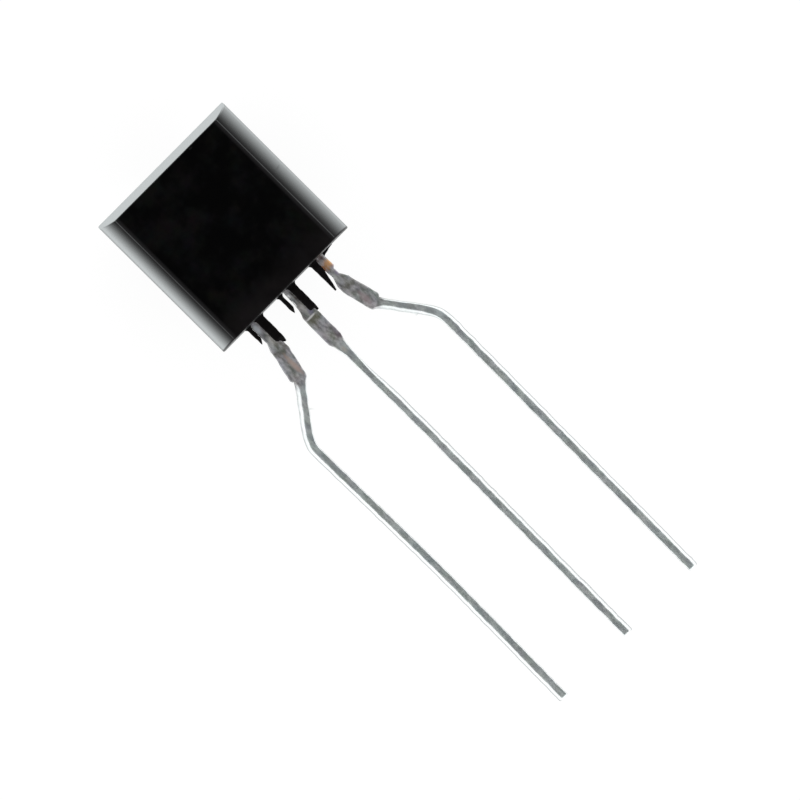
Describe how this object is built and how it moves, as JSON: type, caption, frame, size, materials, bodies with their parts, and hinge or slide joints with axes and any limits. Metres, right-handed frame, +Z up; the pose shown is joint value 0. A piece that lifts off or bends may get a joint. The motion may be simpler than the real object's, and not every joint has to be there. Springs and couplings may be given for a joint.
{
  "type": "to-92 transistor",
  "caption": "Small moulded transistor with a black D-section case and stamped tinned leads leaving one end, the outer ones formed to a wide pitch; switches or amplifies a current.",
  "frame": {"origin": "on the surface that the part lies on, under the middle of its overall length and width", "axes": "+X along the leads, towards their cut tips; +Y towards the right lead, seen with the flat face to the viewer and the leads down; +Z up, out of the flat face"},
  "size_m": [0.0186, 0.0056, 0.0039],
  "materials": {
    "moulding_resin": "satin",
    "tinned_lead": "satin",
    "silicon": "polished",
    "attach_resin": "matte",
    "bond_wire": "polished"
  },
  "bodies": {
    "root": {"case": "moulding_resin", "left_lead": "tinned_lead", "middle_lead": "tinned_lead", "right_lead": "tinned_lead", "die": "silicon", "die_attach": "attach_resin", "emitter_wire": "bond_wire", "base_wire": "bond_wire"}
  },
  "joints": []
}
